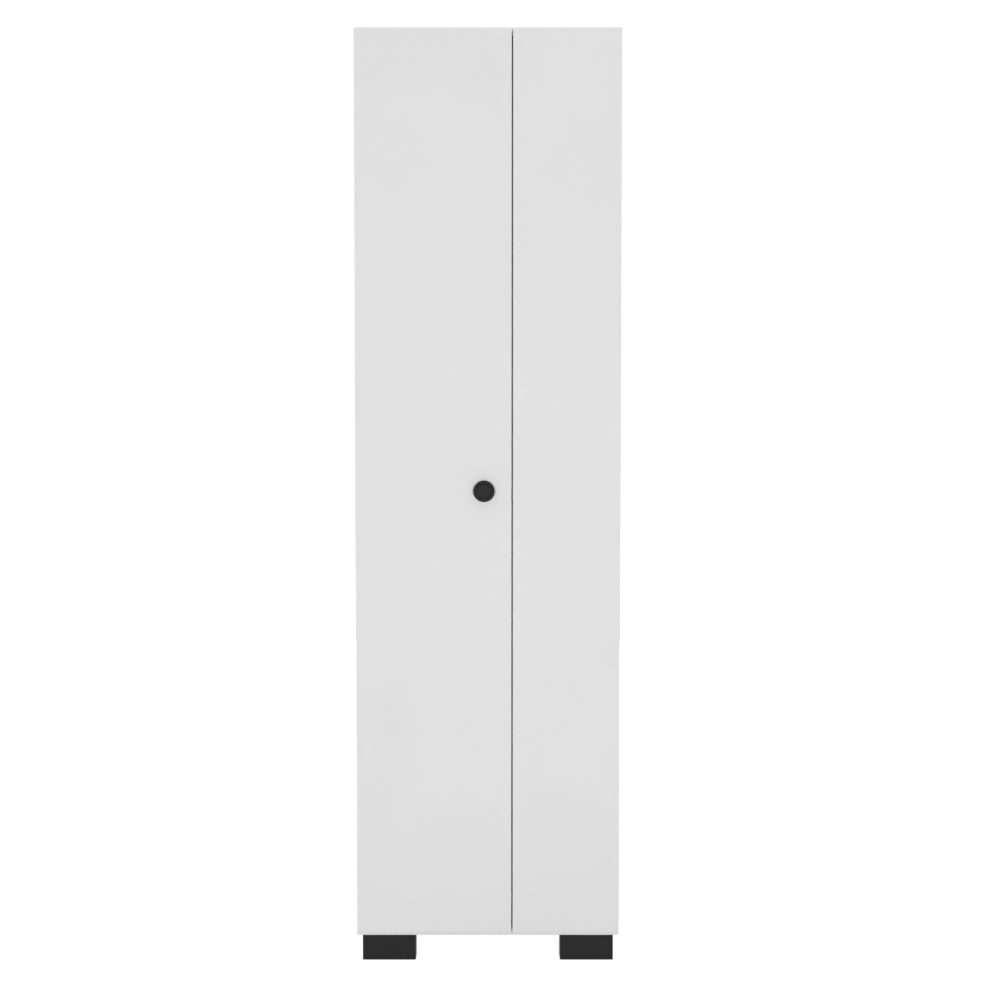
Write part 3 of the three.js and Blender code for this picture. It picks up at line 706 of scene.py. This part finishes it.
def make_cams(material):
    """A cam in each bore of the boards that the cams hold, a little below the surface."""
    places = []
    boards = {"top_panel": 1, "bottom_panel": -1, "left_shelf_2": -1, "broom_bay_shelf": -1}
    for name, up in boards.items():
        low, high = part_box(name)
        face = high.z - CAM_SUNK if up > 0 else low.z + CAM_SUNK
        for x, turn in ((low.x + CAM_END, math.pi), (high.x - CAM_END, 0)):
            for y in (low.y + CAM_SETBACK, high.y - CAM_SETBACK):
                places.append(facing((x, y, face), (0, 0, up), turn if up > 0 else math.pi - turn))
    fasteners("cam_locks", cam_lock(), places, material, "carcass")


def shelf_peg():
    """A shelf support: a pin along -X into the wall at zero, a plate down it and a ledge, top at zero."""
    half, width, corner = 4.5 * MM, 0.3 * MM, math.radians(60)
    # Across and up, in millimetres
    outline = [
        (0, 0), (7.5, 0), (7.5, -1.0), (6.9, -1.5), (2.6, -1.5),
        (1.9, -1.8), (1.5, -2.5), (1.5, -10.2), (0.9, -11), (0, -11),
    ]
    made = bmesh.new()
    near = [made.verts.new((x * MM, -half, z * MM)) for x, z in outline]
    far = [made.verts.new((x * MM, half, z * MM)) for x, z in outline]
    made.faces.new(near)
    made.faces.new(list(reversed(far)))
    for step in range(len(outline)):
        after = (step + 1) % len(outline)
        made.faces.new([near[after], near[step], far[step], far[after]])
    bmesh.ops.recalc_face_normals(made, faces=made.faces)
    sharp = [edge for edge in made.edges if edge.calc_face_angle(0) > corner]
    round_edges(made, sharp, width)
    bracket = mesh_from(made, "bracket")

    radius, tip, length, buried, drop = 2.2 * MM, 0.5 * MM, 10 * MM, 9.2 * MM, 2.5 * MM
    profile = [(0, 0), (radius - tip, 0), (radius, tip), (radius, length), (0, length)]
    pin = turned_mesh("pin", profile, PEG_TURNS)
    pin.transform(Matrix.Translation((-buried, 0, -drop)) @ Matrix.Rotation(math.pi / 2, 4, "Y"))
    peg = combined(bracket, pin, "UNION")
    smooth(peg)
    return peg


def make_shelf_pegs(material):
    """Four supports under each loose shelf, in the holes beside it."""
    left_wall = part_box("left_side_panel")[1].x
    right_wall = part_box("partition")[0].x
    turned = Matrix.Rotation(math.pi, 4, "Z")
    places = []
    for number in LOOSE_SHELVES:
        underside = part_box(f"left_shelf_{number}")[0].z - PEG_CLEARANCE
        for y in (PEG_FRONT, PEG_REAR):
            places.append(Matrix.Translation((left_wall + PEG_CLEARANCE, y, underside)))
            places.append(Matrix.Translation((right_wall - PEG_CLEARANCE, y, underside)) @ turned)
    fasteners("shelf_pegs", shelf_peg(), places, material, "carcass")


def make_foot_screws(material):
    """Two screws up through each foot's top plate."""
    screw = pan_head(radius=4.0 * MM, height=2.0 * MM, shank_radius=2.0 * MM, shank_length=14 * MM)
    places = []
    for depth in ("front", "rear"):
        for side in SIDES:
            low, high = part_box(f"{depth}_{side}_foot")
            for number, x in enumerate((low.x + FOOT_SCREW_INSET, high.x - FOOT_SCREW_INSET)):
                place = (x, low.y + FOOT_SCREW_SETBACK, high.z - FOOT_SCREW_DEPTH)
                places.append(facing(place, (0, 0, -1), 0.6 + 0.9 * number))
    fasteners("foot_screws", screw, places, material, "carcass")


def make_hook_screws(material):
    """Two screws through each hook's plate."""
    screw = pan_head(radius=3.4 * MM, height=1.5 * MM, shank_radius=1.8 * MM, shank_length=12 * MM)
    rail_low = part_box("hook_rail")[0]
    places = []
    for number in (1, 2):
        low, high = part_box(f"broom_hook_{number}")
        for rise, spin in HOOK_SCREWS:
            place = ((low.x + high.x) / 2, rail_low.y - HOOK_PLATE, rail_low.z + rise)
            places.append(facing(place, (0, -1, 0), spin + number))
    fasteners("hook_screws", screw, places, material, "carcass")


def spread(start, end, count):
    """Evenly spaced values from start to end."""
    return [start + (end - start) * step / (count - 1) for step in range(count)]


def make_back_nails(material):
    """Small round nails that hold the back sheets to the boards' rear edges."""
    radius, rise, edge, shank, length, point = 1.5 * MM, 0.5 * MM, 0.2 * MM, 0.6 * MM, 8 * MM, 7 * MM
    profile = [
        (0, -length), (shank, -point), (shank, 0), (radius, 0), (radius, edge), (0.6 * radius, 0.85 * rise),
        (0, rise),
    ]
    nail = turned_mesh("nail", profile, NAIL_TURNS)
    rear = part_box("back_panel_lower")[1].y
    spots = []

    def nail_along(board, margin, count):
        """Nails in a row into a level board's rear edge."""
        low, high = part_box(board)
        level = (low.z + high.z) / 2
        spots.extend((x, level) for x in spread(low.x + margin, high.x - margin, count))

    for sheet, edge_board in (("back_panel_lower", "bottom_panel"), ("back_panel_upper", "top_panel")):
        sheet_low, sheet_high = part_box(sheet)
        heights = spread(sheet_low.z + SHEET_NAIL_MARGIN, sheet_high.z - SHEET_NAIL_MARGIN, SHEET_NAILS)
        for board in ("left_side_panel", "partition", "right_side_panel"):
            low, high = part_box(board)
            spots.extend(((low.x + high.x) / 2, z) for z in heights)
        nail_along(edge_board, BOARD_NAIL_MARGIN, BOARD_NAILS)
    for shelf in ("left_shelf_2", "broom_bay_shelf"):
        nail_along(shelf, SHELF_NAIL_MARGIN, SHELF_NAILS)
    places = [facing((x, rear, z), (0, 1, 0)) for x, z in spots]
    fasteners("back_nails", nail, places, material, "carcass")


# Stage

def make_camera():
    """The photograph's view: straight on, level with the cupboard's upper middle, looking slightly down."""
    data = bpy.data.cameras.new("camera")
    data.sensor_width = SENSOR_MM
    data.lens = FOCAL_PIXELS / IMAGE_PIXELS * SENSOR_MM
    data.shift_x = 0.5 - CENTRE_PIXEL_X / IMAGE_PIXELS
    camera = new_object("camera", data)
    camera.location = (0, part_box("left_door")[0].y - CAMERA_DISTANCE, CAMERA_HEIGHT)
    camera.rotation_euler = (math.pi / 2 - CAMERA_PITCH, 0, 0)
    bpy.context.scene.camera = camera


def seen_directly(tree):
    """1 for rays from the camera, from a reflection or through something clear, and 0 for other light."""
    path = node(tree, "ShaderNodeLightPath")
    either = math_node(tree, "MAXIMUM", path.outputs["Is Camera Ray"], path.outputs["Is Glossy Ray"])
    return math_node(tree, "MAXIMUM", either, path.outputs["Is Transmission Ray"])


def make_world(fill):
    """White where it is seen, and a plain grey fill light everywhere else."""
    world = bpy.data.worlds.new("studio")
    bpy.context.scene.world = world
    world.use_nodes = True
    tree = world.node_tree
    tree.nodes.clear()
    strength = mix_value(tree, seen_directly(tree), fill, 1.0)
    background = node(tree, "ShaderNodeBackground", {"Color": WHITE, "Strength": strength})
    node(tree, "ShaderNodeOutputWorld", {"Surface": background.outputs[0]})


def make_floor(size, glow):
    """A pale floor that takes shadows, is lifted to white where it is seen, and is open from below."""
    mesh = bpy.data.meshes.new("floor")
    half = size / 2
    corners = [(-half, -half, 0), (half, -half, 0), (half, half, 0), (-half, half, 0)]
    mesh.from_pydata(corners, [], [(0, 1, 2, 3)])
    floor = new_object("floor", mesh)
    material, tree, shader = new_material("floor")
    below = node(tree, "ShaderNodeNewGeometry").outputs["Backfacing"]
    clear = node(tree, "ShaderNodeBsdfTransparent")
    either = node(tree, "ShaderNodeMixShader", {0: below, 1: shader.outputs[0], 2: clear.outputs[0]})
    node(tree, "ShaderNodeOutputMaterial", {"Surface": either.outputs[0]}).is_active_output = True
    seen = seen_directly(tree)
    strength = math_node(tree, "MULTIPLY", seen, glow)
    colour = mix_colour(tree, seen, FLOOR_BOUNCE, FLOOR_SEEN)
    connect(tree, shader, Base_Color=colour, Roughness=0.9, Specular_IOR_Level=0.0)
    connect(tree, shader, Emission_Color=WHITE, Emission_Strength=strength)
    mesh.materials.append(material)


def soft_lamp(name, place, target, width, height, power):
    """A rectangular soft lamp, in metres and watts, that is itself never seen."""
    data = bpy.data.lights.new(name, "AREA")
    data.shape = "RECTANGLE"
    data.size = width
    data.size_y = height
    data.energy = power
    lamp = new_object(name, data)
    lamp.location = place
    lamp.rotation_euler = (Vector(target) - Vector(place)).to_track_quat("-Z", "Y").to_euler()
    lamp.visible_camera = False
    lamp.visible_glossy = False


def make_stage():
    """A tall key lamp on each side of the camera, and softer lamps above, behind and beside the cupboard.
    The lamps in front stand far enough apart to leave the line between the doors dark."""
    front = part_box("left_door")[0].y
    level = 0.97
    make_world(fill=0.31)
    make_floor(size=24.0, glow=0.82)
    for side, way in (("left", -1), ("right", 1)):
        soft_lamp(
            f"{side}_key_lamp", place=(way * 0.58, front - 5.0, level), target=(0, front, level),
            width=0.25, height=1.0, power=71,
        )
        soft_lamp(
            f"{side}_lamp", place=(way * 3.8, 0.9, 1.6), target=(0, 0.1, 0.8),
            width=2.4, height=2.4, power=50,
        )
        soft_lamp(
            f"{side}_high_lamp", place=(way * 1.3, front - 3.4, 3.4), target=(0, front, 0.9),
            width=0.9, height=1.2, power=5.8,
        )
    soft_lamp("top_lamp", place=(0, 0.5, 3.8), target=(0, 0.1, 1.7), width=2.0, height=2.0, power=24)
    soft_lamp("back_lamp", place=(0, 4.2, 1.3), target=(0, 0.2, 0.9), width=2.4, height=2.4, power=60)


# The object

def dress_boards():
    """Each board's banded and raw edges."""
    edges = {
        "left_side_panel": ("-Y -Z +Z", "+Y"),
        "right_side_panel": ("-Y -Z +Z", "+Y"),
        "top_panel": ("-Y", "-X +X +Y"),
        "bottom_panel": ("-Y", "-X +X +Y"),
        "partition": ("-Y", "-Z +Z +Y"),
        "broom_bay_shelf": ("-Y", "-X +X +Y"),
        "hook_rail": ("-Z +Z", "-X +X"),
        "left_door": ("-X +X -Z +Z", ""),
        "right_door": ("-X +X -Z +Z", ""),
    }
    for number in range(1, 5):
        edges[f"left_shelf_{number}"] = ("-Y", "-X +X +Y")
    for name, (banded, raw) in edges.items():
        # The doors' edges are eased in the solids.
        body, width = (name, 0) if name.endswith("_door") else ("carcass", BOARD_EDGE)
        board_piece(name, melamine_board(name, banded, raw), body, width)


def dress_plain_nodes():
    """The sheets, the strip, the feet, the hinges and the small parts."""
    sheet = back_sheet_material()
    board_piece("back_panel_lower", sheet, "carcass", SHEET_EDGE)
    board_piece("back_panel_upper", sheet, "carcass", SHEET_EDGE)
    refined("back_joining_strip", 0.2 * MM, extruded_plastic(), "carcass")
    foot = moulded_plastic("foot_plastic", FOOT_BLACK, roughness=0.5, grain=1600.0, specular=0.22)
    feet = [f"{depth}_{side}_foot" for depth in ("front", "rear") for side in SIDES]
    refined_alike(feet, 0.35 * MM, foot, "carcass")
    nickel = metal("nickel", NICKEL, roughness=0.30, grain=900.0)
    zinc = metal("zinc", ZINC, roughness=0.42, grain=1400.0)
    rubber = clear_rubber()
    for side in SIDES:
        door = f"{side}_door"
        # Each kind of piece is made from the hinge whose triangles merge most cleanly.
        hinge_pieces = {
            "cup": ("upper", 0.2 * MM, nickel, door),
            "pin": ("upper", 0.15 * MM, nickel, door),
            "arm": ("middle", 0.2 * MM, nickel, "carcass"),
            "plate": ("upper", 0.2 * MM, nickel, "carcass"),
            "arm_screw": ("upper", 0.1 * MM, zinc, "carcass"),
        }
        for kind, (cleanest, width, material, body) in hinge_pieces.items():
            heights = [cleanest] + [height for height in HEIGHTS if height != cleanest]
            names = [f"{side}_{height}_hinge_{kind}" for height in heights]
            refined_alike(names, width, material, body)
        for height in ("lower", "upper"):
            make_bumper(f"{door}_{height}_bumper", rubber, door)
    refined_alike(["broom_hook_2", "broom_hook_1"], 0.35 * MM, nickel, "carcass")
    refined("knob_screw", 0.1 * MM, zinc, "left_door")
    make_hinge_screws(zinc)
    make_cams(zinc)
    make_shelf_pegs(nickel)
    make_foot_screws(zinc)
    make_hook_screws(nickel)
    make_back_nails(zinc)


make_camera()
make_stage()
dress_boards()
dress_plain_nodes()
make_knob(moulded_plastic("knob_plastic", KNOB_BLACK, roughness=0.5, grain=1200.0, specular=0.08))

bpy.context.scene.view_settings.view_transform = "Standard"
